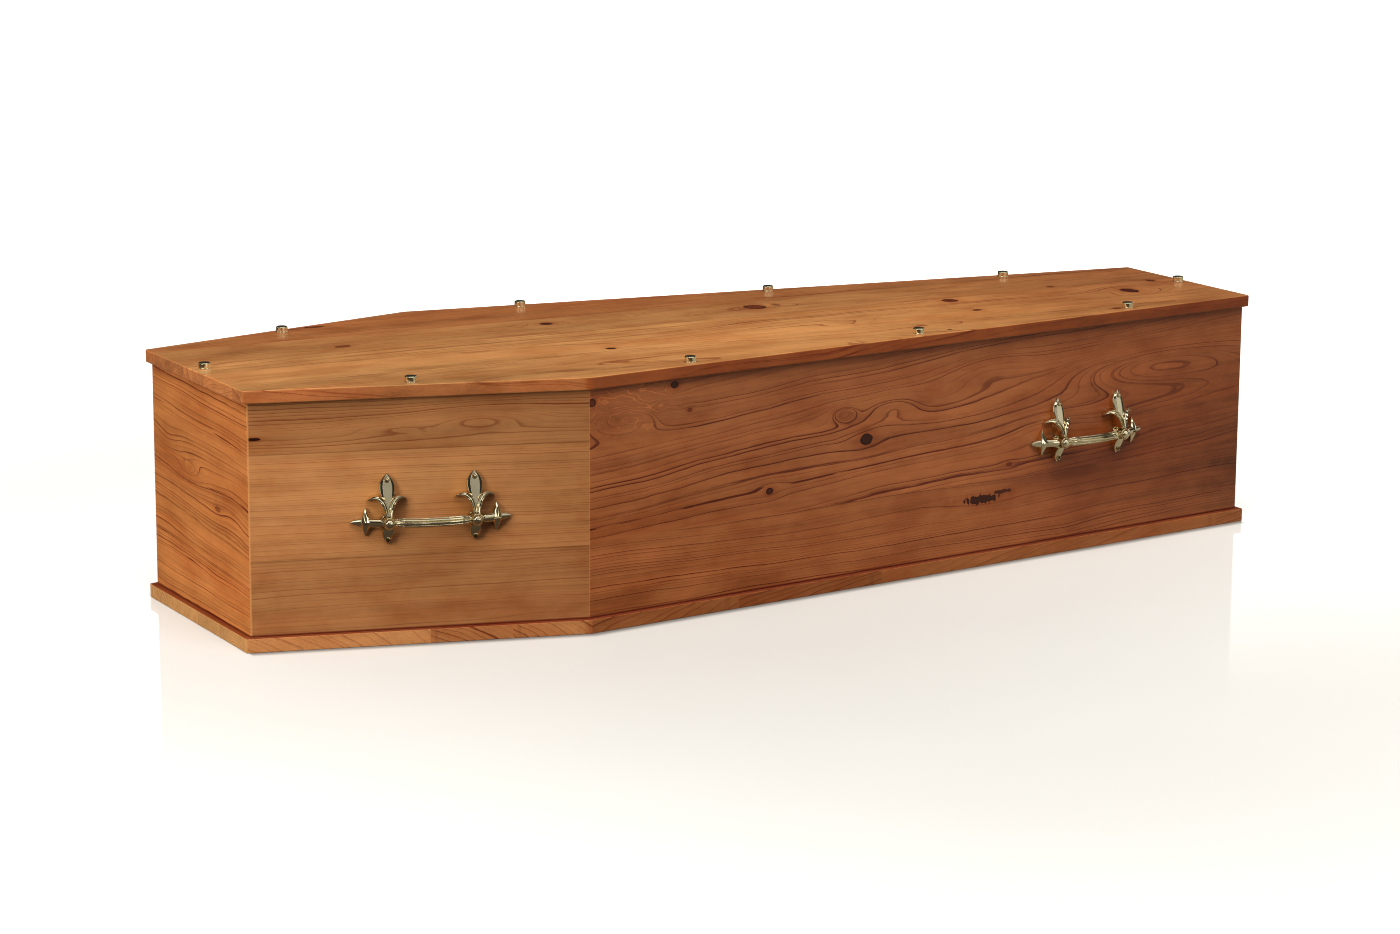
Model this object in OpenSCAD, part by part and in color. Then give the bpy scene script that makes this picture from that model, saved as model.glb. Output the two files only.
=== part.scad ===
// Six-sided wooden coffin: tapered box of pine boards on a projecting base board,
// a loose flat lid held by ten metal screw caps, and four cast bar handles.
// X runs from the head end (-X) to the foot end (+X), Y across, Z up.
// The origin is on the floor, under the middle of the base board. Millimetres.

/* [Box] */
// Length over the end boards
box_len = 1880; // [1700:10:2100]
// Width at the head end, over the side boards
head_w = 388; // [340:2:460]
// Width at the shoulders, the widest place
shoulder_w = 664; // [600:2:740]
// Width at the foot end
foot_w = 344; // [300:2:420]
// Distance from the head end to the shoulders
shoulder_at = 508; // [440:2:600]
// Height of the side and end boards
wall_h = 362; // [300:2:420]
// Thickness of the side and end boards
board_t = 20; // [16:1:26]

/* [Base and lid] */
// Thickness of the base board
base_t = 22; // [18:1:28]
// How far the base board projects past the sides
base_over = 10; // [4:1:16]
// Thickness of the lid
lid_t = 20; // [16:1:26]
// How far the lid projects past the sides
lid_over = 9; // [4:1:16]

/* [Lid screw caps] */
// Diameter of a screw cap
cap_d = 19.5; // [14:0.5:24]
// Height of a screw cap above the lid
cap_h = 10; // [6:0.5:14]
// Distance from a wall's outer face in to the caps' centres
cap_in = 12; // [10:0.5:14]
// First cap along each long side, from the head end
cap_first = 246; // [230:2:280]
// Spacing of the caps along each long side
cap_pitch = 458; // [430:2:470]
// Caps along each long side
cap_n = 4; // [4]

/* [Handles] */
// Spacing of a handle's two bosses
boss_gap = 135; // [128:1:145]
// Height of the bosses above the floor
handle_z = 194; // [170:1:220]
// Centre of the head-end handle, along the short side board from the head corner
handle_head_at = 277.5; // [250:0.5:290]
// Centre of the foot-end handle, along the long side board from the shoulder
handle_foot_at = 1020; // [900:5:1100]
// Diameter of the grip bar
bar_d = 15.6; // [12:0.2:17]
// How far the middle of the bar bows out past its ends
bar_bow = 9; // [4:0.5:12]
// Distance from the board to the axis of the bar's ends
bar_out = 20; // [18:0.5:22]

/* [Handle plates] */
// Height of the upper leaf's tip above the boss
leaf_up = 73.5; // [66:0.5:80]
// Half width of the upper leaf's middle petal
petal_hw = 12.2; // [9:0.1:14]
// Reach of the two curled petals either side
curl_reach = 31.5; // [26:0.5:34]
// Depth of the lower leaf's tip below the boss
leaf_down = 36; // [30:0.5:42]
// Half width of the lower leaf
down_hw = 8.7; // [7:0.1:10]
// Reach of the side leaf away from the bar
spear_reach = 57; // [52:0.5:62]
// Half height of the side leaf
spear_hh = 6.6; // [5:0.1:8]
// Thickness of every leaf at its tip
tip_t = 5; // [4:0.5:6]

/* [Hidden] */
$fn = 48;
BR = ["head", "foot"];

pine = "#b9804a"; pine_dark = "#9c5f38"; brass = "#d8c88a";

x_head = -box_len/2;
x_foot = box_len/2;
x_sh = x_head + shoulder_at;
// slopes of the short (head) and long (foot) sides away from the centre line
ta = (shoulder_w - head_w)/2/shoulder_at;
tb = (shoulder_w - foot_w)/2/(box_len - shoulder_at);
ang_a = atan(ta);
ang_b = atan(tb);
len_a = shoulder_at/cos(ang_a);
z_wall = base_t;
z_lid = base_t + wall_h;
z_top = z_lid + lid_t;

// half width of the short and long side lines, moved outward by d
function half_a(x, d) = head_w/2 + ta*(x - x_head) + d/cos(ang_a);
function half_b(x, d) = foot_w/2 + tb*(x_foot - x) + d/cos(ang_b);
function x_meet(d) = (foot_w/2 + tb*x_foot + d/cos(ang_b) - head_w/2 + ta*x_head - d/cos(ang_a))/(ta + tb);
// six corners of the plan, anticlockwise from the head end's front corner
function plan(d) = let (xm = x_meet(d))
  [[x_head - d, -half_a(x_head - d, d)], [xm, -half_a(xm, d)], [x_foot + d, -half_b(x_foot + d, d)],
   [x_foot + d, half_b(x_foot + d, d)], [xm, half_a(xm, d)], [x_head - d, half_a(x_head - d, d)]];

// one upright board between corner i and the next, mitred at both ends
module wall(i) {
  o = plan(0); n = plan(-board_t); j = (i + 1) % 6;
  color(i == 1 || i == 3 ? pine_dark : pine)
    translate([0, 0, z_wall]) linear_extrude(wall_h) polygon([o[i], o[j], n[j], n[i]]);
}
module base_board() color(pine) linear_extrude(base_t) polygon(plan(base_over));
module lid() color(pine) translate([0, 0, z_lid]) linear_extrude(lid_t) polygon(plan(lid_over));

// round screw cap with a small bevel and a slightly domed top
module cap_shape() color(brass) rotate_extrude()
  polygon([[0, 0], [cap_d/2 - 0.6, 0], [cap_d/2, 0.6], [cap_d/2, cap_h - 1.6],
           [cap_d/2 - 1, cap_h - 0.6], [cap_d/4, cap_h - 0.15], [0, cap_h]]);
module lid_screw(k, side) {
  x = x_head + cap_first + k*cap_pitch;
  y = (x < x_sh ? half_a(x, -cap_in) : half_b(x, -cap_in));
  translate([x, side*y, z_top]) cap_shape();
}

// ---- handle, drawn flat: X away from the bar, Y up, Z out from the board ----
STEPS = 14;
function bez(a, b, c, d, t) = pow(1 - t, 3)*a + 3*t*pow(1 - t, 2)*b + 3*t*t*(1 - t)*c + pow(t, 3)*d;
function slope(a, b, c, d, t) = 3*pow(1 - t, 2)*(b - a) + 6*t*(1 - t)*(c - b) + 3*t*t*(d - c);
function unit(v) = v/norm(v);
function smooth(t) = t <= 0 ? 0 : t >= 1 ? 1 : t*t*(3 - 2*t);
stem_y = 9.6;
wide_y = leaf_up*0.72;
// half width of the middle petal at height y: a slim stem, a swell, then the point
function petal_at(y) = y <= wide_y
  ? 4 + (petal_hw - 4)*smooth((y - 14)/(wide_y - 14))
  : petal_hw*(1 - pow((y - wide_y)/(leaf_up - wide_y), 2.1));
module mid_petal() {
  ys = [for (k = [0:2*STEPS]) stem_y + (leaf_up - stem_y)*k/(2*STEPS)];
  polygon(concat([for (y = ys) [petal_at(y), y]],
                 [for (k = [2*STEPS - 1:-1:0]) [-petal_at(ys[k]), ys[k]]]));
}
// curled petal: swept along a curve up the stem, over and out to its tip
c0 = [2.2, stem_y]; c1 = [3.5, 33]; c2 = [14, 45]; c3 = [curl_reach, 33.6];
function curl_w(t) = (2.4 + 2.3*sin(180*t))*(1 - pow(t, 4));
module curl_petal(side) {
  t = [for (k = [0:STEPS]) k/STEPS];
  p = [for (u = t) bez(c0, c1, c2, c3, u)];
  n = [for (u = t) let (d = unit(slope(c0, c1, c2, c3, u))) [-d[1], d[0]]];
  scale_x = side;
  polygon([for (k = [0:STEPS]) let (q = p[k] + n[k]*curl_w(t[k])) [scale_x*q[0], q[1]],
           for (k = [STEPS - 1:-1:0]) let (q = p[k] - n[k]*curl_w(t[k])) [scale_x*q[0], q[1]]]);
}
module low_leaf() {
  ys = [for (k = [0:STEPS]) 9 + (leaf_down - 9)*k/STEPS];
  function w(y) = y < 17 ? down_hw - 1.2*(17 - y)/8 : down_hw*(1 - pow((y - 17)/(leaf_down - 17), 2));
  polygon(concat([for (y = ys) [w(y), -y]], [for (k = [STEPS - 1:-1:0]) [-w(ys[k]), -ys[k]]]));
}
module spear() {
  xs = [for (k = [0:STEPS]) 36 + (spear_reach - 36)*k/STEPS];
  function w(x) = spear_hh*(1 - pow((x - 36)/(spear_reach - 36), 1.9));
  polygon(concat([[9.6, -3.6], [13.5, -spear_hh]], [for (x = xs) [x, -w(x)]],
                 [for (k = [STEPS - 1:-1:0]) [xs[k], w(xs[k])]], [[13.5, spear_hh], [9.6, 3.6]]));
}
// small hooked petal standing across the side leaf
module thorn(side) {
  a = [33.5, 22]; b = [32, 9]; c = [21, 5];
  polygon(concat([for (k = [0:8]) let (u = k/8, q = (1 - u)*(1 - u)*a + 2*u*(1 - u)*b + u*u*c) [q[0], side*q[1]]],
                 [[39, side*3], [38.5, side*10], [36.8, side*16]]));
}
// wedge under a leaf: height h0 at r0 from the boss, falling to h1 at r1
module ramp(r0, h0, r1, h1, turn) rotate([0, 0, turn])
  rotate([90, 0, 90]) translate([0, 0, -45]) linear_extrude(90)
    polygon([[r0, 0], [r1, 0], [r1, h1], [r0, h0]]);
module leaf3d(r0, h0, r1, h1, turn) intersection() {
  linear_extrude(40) children();
  ramp(r0, h0, r1, h1, turn);
}
eye_r = 9; eye_z0 = 12; eye_z1 = 26;
screw_up_y = 64; screw_dn_y = -28;
function up_z(y, h0) = h0 + (tip_t - h0)*(y - 8)/(leaf_up - 8);
function dn_z(y) = 20 + (tip_t - 20)*(-y - 8)/(leaf_down - 8);
pad_up = up_z(screw_up_y - 3.4, 25); pad_dn = dn_z(screw_dn_y + 3.4);

module plate_shape() difference() {
  union() {
    cylinder(r = 8, h = eye_z0);
    leaf3d(8, 25, leaf_up, tip_t, 0) mid_petal();
    for (s = [-1, 1]) leaf3d(8, 26.5, leaf_up, tip_t + 1.5, 0) curl_petal(s);
    leaf3d(8, 20, leaf_down, tip_t, 180) low_leaf();
    leaf3d(8, 24, spear_reach, tip_t, -90) spear();
    for (s = [-1, 1]) leaf3d(8, 21, spear_reach, tip_t - 2, -90) thorn(s);
    linear_extrude(8) difference() { square([26, 22], center = true); translate([-17, 0]) square([16, 30], center = true); }
    translate([0, screw_up_y, 0]) cylinder(r = 3.6, h = pad_up);
    translate([0, screw_dn_y, 0]) cylinder(r = 3.6, h = pad_dn);
  }
  translate([0, 0, eye_z0]) cylinder(r = eye_r + 0.3, h = 40);
}
module screw_shape() rotate_extrude() polygon([[0, 0], [2.9, 0], [2.9, 0.9], [2.1, 1.8], [1.1, 2.2], [0, 2.3]]);
// ring and dome that hold the bar's eye on the boss
module boss_shape() translate([0, 0, eye_z1]) rotate_extrude()
  polygon(concat([[0, 0], [8.8, 0], [9.8, 0.8], [9.8, 1.8], [9.2, 2.6]],
                 [for (a = [0:10:90]) [8.4*cos(a), 2.6 + 6.2*sin(a)]]));
// bowed grip bar with an eye at each end; X along the bar from its middle
bow_r = (pow(boss_gap/2, 2) + bar_bow*bar_bow)/(2*bar_bow);
bow_a = asin(boss_gap/2/bow_r);
module bar_shape() {
  for (s = [-1, 1]) translate([s*boss_gap/2, 0, eye_z0]) cylinder(r = eye_r, h = eye_z1 - eye_z0);
  translate([0, 0, bar_out + bar_bow - bow_r]) rotate([90, 0, 0]) rotate([0, 0, 90 - bow_a])
    rotate_extrude(angle = 2*bow_a, $fn = 96) translate([bow_r, 0]) circle(d = bar_d, $fn = 32);
}
// puts flat-drawn handle parts on a board of the front side
module at_handle(where) {
  if (where == "head")
    translate([x_head, -head_w/2, handle_z]) rotate([0, 0, -ang_a]) translate([handle_head_at, 0, 0]) rotate([90, 0, 0]) children();
  else
    translate([x_sh, -shoulder_w/2, handle_z]) rotate([0, 0, ang_b]) translate([handle_foot_at, 0, 0]) rotate([90, 0, 0]) children();
}
module plate(e) translate([e*boss_gap/2, 0, 0]) mirror([e < 0 ? 1 : 0, 0, 0]) plate_shape();
module handle_piece(where, piece) color(brass) at_handle(where) {
  if (piece == "plate_head") plate(-1);
  if (piece == "plate_foot") plate(1);
  if (piece == "bar") bar_shape();
  if (piece == "boss_head") translate([-boss_gap/2, 0, 0]) boss_shape();
  if (piece == "boss_foot") translate([boss_gap/2, 0, 0]) boss_shape();
  if (piece == "screw_1") translate([-boss_gap/2, screw_up_y, pad_up]) screw_shape();
  if (piece == "screw_2") translate([-boss_gap/2, screw_dn_y, pad_dn]) screw_shape();
  if (piece == "screw_3") translate([boss_gap/2, screw_up_y, pad_up]) screw_shape();
  if (piece == "screw_4") translate([boss_gap/2, screw_dn_y, pad_dn]) screw_shape();
}

base_board();
wall(5);  // head_panel
wall(2);  // foot_panel
wall(0);  // side_front_short
wall(1);  // side_front_long
wall(4);  // side_back_short
wall(3);  // side_back_long
lid();
for (i = [1:cap_n]) {
  lid_screw(i - 1, -1);
  lid_screw(i - 1, 1);
}
translate([x_head + cap_in, 0, z_top]) cap_shape();  // lid_screw_head
translate([x_foot - cap_in, 0, z_top]) cap_shape();  // lid_screw_foot
for (b = BR) for (p = ["plate_head", "plate_foot", "bar", "boss_head", "boss_foot", "screw_1", "screw_2", "screw_3", "screw_4"]) {
  handle_piece(b, p);
  mirror([0, 1, 0]) handle_piece(b, p);
}
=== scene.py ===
import bpy, bmesh, math
import numpy as np
from mathutils import Matrix, Vector


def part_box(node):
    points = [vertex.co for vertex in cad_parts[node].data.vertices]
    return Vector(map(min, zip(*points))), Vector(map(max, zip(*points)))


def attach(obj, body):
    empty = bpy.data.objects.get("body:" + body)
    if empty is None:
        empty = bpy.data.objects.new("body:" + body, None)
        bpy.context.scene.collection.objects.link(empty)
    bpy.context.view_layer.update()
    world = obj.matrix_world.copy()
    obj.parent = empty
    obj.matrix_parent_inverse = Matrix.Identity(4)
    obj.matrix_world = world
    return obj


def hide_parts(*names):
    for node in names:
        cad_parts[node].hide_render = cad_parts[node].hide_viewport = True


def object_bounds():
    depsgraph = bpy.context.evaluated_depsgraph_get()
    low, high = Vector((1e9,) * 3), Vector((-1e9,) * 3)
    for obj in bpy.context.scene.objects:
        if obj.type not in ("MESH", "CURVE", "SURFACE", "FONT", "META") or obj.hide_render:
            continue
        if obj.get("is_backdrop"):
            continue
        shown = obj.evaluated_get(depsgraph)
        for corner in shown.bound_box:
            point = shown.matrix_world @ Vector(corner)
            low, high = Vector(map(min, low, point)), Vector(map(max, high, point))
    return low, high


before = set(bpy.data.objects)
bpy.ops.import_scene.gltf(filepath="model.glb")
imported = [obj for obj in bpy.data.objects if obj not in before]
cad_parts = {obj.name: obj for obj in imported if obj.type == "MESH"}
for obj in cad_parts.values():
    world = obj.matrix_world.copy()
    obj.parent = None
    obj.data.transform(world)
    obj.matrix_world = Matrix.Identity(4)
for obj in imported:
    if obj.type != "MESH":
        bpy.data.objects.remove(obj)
cad_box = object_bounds()
MM = 0.001

# ---------------------------------------------------------------- sizes, metres
lo_b, hi_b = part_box("base_board")
lo_l, hi_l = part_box("lid")
lo_h, hi_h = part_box("head_panel")
lo_f, hi_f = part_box("foot_panel")
lo_s, hi_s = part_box("side_front_short")
XH, XF = lo_h.x, hi_f.x                 # outer faces of the end boards
HEAD_W, FOOT_W = hi_h.y - lo_h.y, hi_f.y - lo_f.y
SH_W = -2 * lo_s.y
BOARD = hi_h.x - lo_h.x
XS = XH + 0.508
Z_BASE, Z_LID, Z_TOP = hi_b.z, lo_l.z, hi_l.z
OVER_B, OVER_L = XH - lo_b.x, XH - lo_l.x
TA = (SH_W - HEAD_W) / 2 / (XS - XH)
TB = (SH_W - FOOT_W) / 2 / (XF - XS)
AA, AB = math.atan(TA), math.atan(TB)


def plan(d):
    ha = lambda x: HEAD_W / 2 + TA * (x - XH) + d / math.cos(AA)
    hb = lambda x: FOOT_W / 2 + TB * (XF - x) + d / math.cos(AB)
    xm = (FOOT_W / 2 + TB * XF + d / math.cos(AB) - HEAD_W / 2 + TA * XH - d / math.cos(AA)) / (TA + TB)
    p = [(XH - d, -ha(XH - d)), (xm, -ha(xm)), (XF + d, -hb(XF + d))]
    return p + [(x, -y) for x, y in reversed(p)]


# ---------------------------------------------------------------- shader maths
class N:
    """A value in a node tree, with the arithmetic that builds Math nodes."""
    tree = None

    def __init__(self, socket):
        self.s = socket

    def __add__(self, o): return m("ADD", self, o)
    def __radd__(self, o): return m("ADD", o, self)
    def __sub__(self, o): return m("SUBTRACT", self, o)
    def __rsub__(self, o): return m("SUBTRACT", o, self)
    def __mul__(self, o): return m("MULTIPLY", self, o)
    def __rmul__(self, o): return m("MULTIPLY", o, self)
    def __truediv__(self, o): return m("DIVIDE", self, o)


def put(socket, value):
    if isinstance(value, N):
        N.tree.links.new(value.s, socket)
    elif value is not None:
        socket.default_value = value


def m(op, *args, clamp=False):
    n = N.tree.nodes.new("ShaderNodeMath")
    n.operation, n.use_clamp = op, clamp
    for i, a in enumerate(args):
        put(n.inputs[i], a)
    return N(n.outputs[0])


def step(x, a, b, lo=0.0, hi=1.0):
    """Smoothly from lo at a to hi at b."""
    n = N.tree.nodes.new("ShaderNodeMapRange")
    n.interpolation_type = "SMOOTHSTEP"
    put(n.inputs["Value"], x)
    n.inputs["From Min"].default_value, n.inputs["From Max"].default_value = a, b
    n.inputs["To Min"].default_value, n.inputs["To Max"].default_value = lo, hi
    if a > b:
        n.inputs["From Min"].default_value, n.inputs["From Max"].default_value = b, a
        n.inputs["To Min"].default_value, n.inputs["To Max"].default_value = hi, lo
    return N(n.outputs["Result"])


def lin(x, a, b, lo=0.0, hi=1.0):
    n = N.tree.nodes.new("ShaderNodeMapRange")
    put(n.inputs["Value"], x)
    n.inputs["From Min"].default_value, n.inputs["From Max"].default_value = a, b
    n.inputs["To Min"].default_value, n.inputs["To Max"].default_value = lo, hi
    return N(n.outputs["Result"])


def vec(x, y, z):
    n = N.tree.nodes.new("ShaderNodeCombineXYZ")
    for i, a in enumerate((x, y, z)):
        put(n.inputs[i], a)
    return N(n.outputs[0])


def split(v):
    n = N.tree.nodes.new("ShaderNodeSeparateXYZ")
    put(n.inputs[0], v)
    return [N(n.outputs[i]) for i in range(3)]


def noise(v, scale=1.0, detail=2.0, rough=0.5, colour=False):
    n = N.tree.nodes.new("ShaderNodeTexNoise")
    put(n.inputs["Vector"], v)
    n.inputs["Scale"].default_value, n.inputs["Detail"].default_value = scale, detail
    n.inputs["Roughness"].default_value = rough
    return split(N(n.outputs["Color"])) if colour else N(n.outputs[0])


def mix(f, a, b, kind="MIX"):
    n = N.tree.nodes.new("ShaderNodeMix")
    n.data_type, n.blend_type = "RGBA", kind
    put(n.inputs[0], f)
    for i, c in ((6, a), (7, b)):
        put(n.inputs[i], c if isinstance(c, N) else (*c, 1.0))
    return N(n.outputs[2])


def ramp(x, stops, kind="CONSTANT"):
    n = N.tree.nodes.new("ShaderNodeValToRGB")
    r = n.color_ramp
    r.interpolation = kind
    put(n.inputs[0], x)
    while len(r.elements) < len(stops):
        r.elements.new(0.5)
    for e, (p, c) in zip(r.elements, stops):
        e.position = p
    for e, (p, c) in zip(r.elements, stops):
        e.color = c
    s = N.tree.nodes.new("ShaderNodeSeparateColor")
    N.tree.links.new(n.outputs[0], s.inputs[0])
    return [N(s.outputs[0]), N(s.outputs[1]), N(s.outputs[2]), N(n.outputs[1])]


def srgb(r, g, b, k=1.0):
    f = lambda c: ((c / 255 + 0.055) / 1.055) ** 2.4 if c > 10 else c / 255 / 12.92
    return tuple(f(c) * k for c in (r, g, b))


def new_material(name):
    mat = bpy.data.materials.new(name)
    mat.use_nodes = True
    nt = mat.node_tree
    nt.nodes.clear()
    N.tree = nt
    out = nt.nodes.new("ShaderNodeOutputMaterial")
    bsdf = nt.nodes.new("ShaderNodeBsdfPrincipled")
    nt.links.new(bsdf.outputs[0], out.inputs[0])
    return mat, nt, bsdf


def object_coords():
    n = N.tree.nodes.new("ShaderNodeTexCoord")
    return N(n.outputs["Object"]), N(n.outputs["Normal"])


def bump(height, strength, distance):
    n = N.tree.nodes.new("ShaderNodeBump")
    n.inputs["Strength"].default_value, n.inputs["Distance"].default_value = strength, distance
    put(n.inputs["Height"], height)
    return N(n.outputs[0])


# ---------------------------------------------------------------- varnished pine
# A board is glued up from staves. Each stave is (top, pith_v, pith_w, ring, tilt, tone, red, contrast): it runs
# up to v = top; its pith lies at v = pith_v, w = -pith_w from the face; ring is the growth-ring spacing; tilt is
# how the grain runs out along the board. Each knot is (u, v, half_length, half_height, darkness, sweep, lift).
def pine(name, flat, v0, v1, staves, knots, eyes, early, late, seed=0.0, foot_shade_line=None, swirl=(0.03, 0.05), gloss=0.08, coat=0.62,
         fine=1.0, end=srgb(196, 142, 84), edge=None, ledge_shade=None, cloud=1.0, glue=0.42, tone_and_painted_light_patches=(), pale=None,
         stains_and_painted_light=(), arris_highlight_ends=None, under_lid_shade=False, years=4.6, turn=None):
    mat, nt, bsdf = new_material(name)
    co, nrm = object_coords()
    x, y, z = split(co)
    u, v, w = (x, y, z) if flat else (x, z, y)
    fac = (v - v0) / (v1 - v0)
    s1, s2, at = [], [], 0.0
    for top, pv, pw, ring, tilt, tone, red, con in staves:
        s1.append((at, ((pv + 1) / 2, (pw + 0.3) / 0.6, ring / 0.02, (tilt + 0.2) / 0.4)))
        s2.append((at, (tone / 2, red, con / 2, (7.31 * len(s1)) % 1.0)))
        at = (top - v0) / (v1 - v0)
    a1, a2 = ramp(fac, s1), ramp(fac, s2)
    pv, pw, ring, tilt = a1[0] * 2 - 1, a1[1] * 0.6 - 0.3, a1[2] * 0.02, a1[3] * 0.4 - 0.2
    tone, red, con, sid = a2[0] * 2, a2[1], a2[2] * 2, a2[3]
    off = sid * 9.0 + seed
    # slow wander of the trunk along the board, and finer waves of the grain
    wa = noise(vec(u * 1.5 + off, v * 5.0, w * 5.0 + off), 1.0, 2.0, 0.5, colour=True)
    wb = noise(vec(u * 7.0 + off, v * 26.0, w * 26.0), 1.0, 3.0, 0.55, colour=True)
    vv = v - pv - tilt * u + (wa[0] - 0.5) * swirl[0] + (wb[0] - 0.5) * 0.006
    ww = w + pw + (wa[1] - 0.5) * swirl[1] + (wb[1] - 0.5) * 0.007
    kd = kc = halo = None
    rag = (noise(vec(u * 60.0, v * 110.0, w * 40.0 + seed), 1.0, 2.0, 0.5) - 0.5) * 0.5
    torn = (noise(vec(u * 190.0, v * 70.0, seed), 1.0, 2.0, 0.6) - 0.5) * 2.4 if any(k[2] > 5 * k[3] for k in knots) else rag
    for ku, kv, ka, kb, dark, sweep, lift in knots:
        du, dv = u - ku, v - kv
        q = m("POWER", du / (ka * 3.4 * sweep), 2.0) + m("POWER", dv / (kb * 3.2), 2.0)
        g = m("POWER", 2.71828, q * -1.0)
        vv = vv - dv * g * 0.72
        ww = ww + g * lift
        d = m("SQRT", m("POWER", du / ka, 2.0) + m("POWER", dv / kb, 2.0)) + (torn if ka > 5 * kb else rag)
        k1 = step(d, 1.22, 0.98)
        h1 = step(d, 3.2, 0.9)
        kd = d if kd is None else m("MINIMUM", kd, d)
        kc = k1 * dark if kc is None else m("MAXIMUM", kc, k1 * dark)
        halo = h1 * min(1.0, dark) if halo is None else m("MAXIMUM", halo, h1 * min(1.0, dark))
    r = m("SQRT", vv * vv + ww * ww)
    for eu, ev, ea, eb, lift in eyes:
        q = m("POWER", (u - eu) / ea, 2.0) + m("POWER", (v - ev) / eb, 2.0)
        r = r + m("POWER", 2.71828, q * -1.0) * lift
    year = noise(vec(r * 55.0 + off, 0.0, 0.0), 1.0, 3.0, 0.6)
    phase = r / ring + (year - 0.5) * years + (wb[2] - 0.5) * 0.6
    f = m("FRACT", phase)
    line = (step(f, 0.74, 0.93) * 0.82 + step(f, 0.10, 0.86) * 0.18) * step(f, 1.0, 0.95)
    # how strongly each year's late wood shows
    force = step(noise(vec(m("FLOOR", phase) * 7.7 + off, u * 0.8, v * 3.0), 1.0, 1.0), 0.34, 0.70, 0.10, 1.0)
    late_f = line * force * con * 1.22
    band = noise(vec(u * 1.1 + off, v * 16.0, w * 16.0 + seed), 1.0, 3.0, 0.6)
    fibre = noise(vec(u * 9.0, v * 420.0, w * 420.0 + off), 1.0, 3.0, 0.6)
    flecks = noise(vec(u * 34.0 + seed, v * 620.0, w * 620.0), 1.0, 2.0, 0.5)
    col = mix(m("MINIMUM", late_f, 1.0, clamp=True), early, late)
    if pale is not None:
        pu, pv_, pa, pb = pale
        q = m("POWER", (u - pu) / pa, 2.0) + m("POWER", (v - pv_) / pb, 2.0)
        g = m("POWER", 2.71828, q * -1.0)
        col = mix(m("MULTIPLY", g * 1.1, 1.0, clamp=True), col, early)
        cn = noise(vec(u * 11.0 + seed, v * 24.0, 0.3), 1.0, 2.0, 0.45)
        loop = step(m("ABSOLUTE", m("FRACT", cn * 15.0) - 0.5), 0.10, 0.02)
        col = mix(g * loop * 0.9, col, tuple(min(1, c * 1.8) for c in early))
    reddish = tuple(c * k for c, k in zip(late, (1.28, 1.02, 0.86)))
    col = mix(m("MULTIPLY", step(band, 0.38, 0.72) * 0.42 + red * 0.62, 1.0, clamp=True), col, mix(0.45, col, reddish))
    haze = noise(vec(u * 8.0 + seed, v * 15.0, w * 15.0 + off), 1.0, 4.0, 0.62)
    streak = noise(vec(u * 1.6 + off, v * 62.0, w * 62.0 + seed), 1.0, 3.0, 0.6)
    light = (streak - 0.5) * 0.44 * cloud + (fibre - 0.5) * 0.30 * fine + (band - 0.5) * 0.42 * cloud + (haze - 0.5) * 0.62 * cloud + 1.0
    # soft lighter or darker patches: partly the wood's own tone, partly painted light and shade where a board is lit
    # unevenly
    for pu, pv_, pa, pb, amount in tone_and_painted_light_patches:
        q = m("POWER", (u - pu) / pa, 2.0) + m("POWER", (v - pv_) / pb, 2.0)
        light = light + m("POWER", 2.71828, q * -1.0) * amount
    dash = step(flecks, 0.70, 0.80) * 0.16 * fine
    light = (light - dash) * tone
    col = mix(step(haze, 0.58, 0.30) * 0.70, col, mix(1.0, col, (1.02, 0.82, 0.68), "MULTIPLY"))
    # end grain: paler and duller, with sharper rings
    nx = split(nrm)[0]
    endf = step(m("ABSOLUTE", nx), 0.75, 0.97)
    pores = noise(vec(u * 300.0, v * 700.0, w * 700.0), 1.0, 2.0, 0.6)
    endcol = mix(line * 0.72, end, tuple(c * 1.25 for c in late))
    col = mix(endf, col, endcol)
    slant = step(m("ABSOLUTE", nx), 0.05, 0.5)
    light = light * ((pores - 0.5) * slant * 0.9 + 1.0)
    nl = N.tree.nodes.new("ShaderNodeVectorMath")
    nl.operation = "SCALE"
    put(nl.inputs[0], col)
    put(nl.inputs["Scale"], light)
    col = N(nl.outputs[0])
    if kd is not None:
        rings = m("SINE", kd * 21.0) * 0.5 + 0.5
        heart = mix(rings * 0.5, srgb(108, 44, 18), srgb(70, 26, 11))
        rim = step(kd, 0.70, 0.98) * step(kd, 1.18, 1.02)
        heart = mix(rim * 0.85, heart, srgb(26, 9, 5))
        col = mix(halo * 0.5, col, mix(1.0, col, (0.74, 0.48, 0.34), "MULTIPLY"))
        black = mix(m("SUBTRACT", kc, 1.0, clamp=True), heart, srgb(7, 2, 1))
        col = mix(m("MINIMUM", kc, 1.0), col, black)
    # painted shade: the side faces of a flat board are tinted darker than its top
    if edge is not None:
        ex, ey, ez = split(nrm)
        side = step(m("ABSOLUTE", ez if flat else ey), 0.75, 0.35)
        col = mix(side, col, mix(1.0, col, edge, "MULTIPLY"))
    # painted shade: the side faces from the shoulder to the foot end are tinted darker again
    if turn is not None:
        col = mix(side * step(u, turn[0] - 0.006, turn[0] + 0.006), col, mix(1.0, col, turn[1], "MULTIPLY"))
    # soft spots of tint: some are stains, others are painted light, such as golden painted reflections of the brass
    # round the handle plates, a painted shadow below a handle and painted shade towards a board's foot end
    for pu, pv_, pa, pb, amount, tint in stains_and_painted_light:
        q = m("POWER", (u - pu) / pa, 2.0) + m("POWER", (v - pv_) / pb, 2.0)
        col = mix(m("POWER", 2.71828, q * -1.0) * amount, col, mix(1.0, col, tint, "MULTIPLY"))
    if under_lid_shade:
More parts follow.
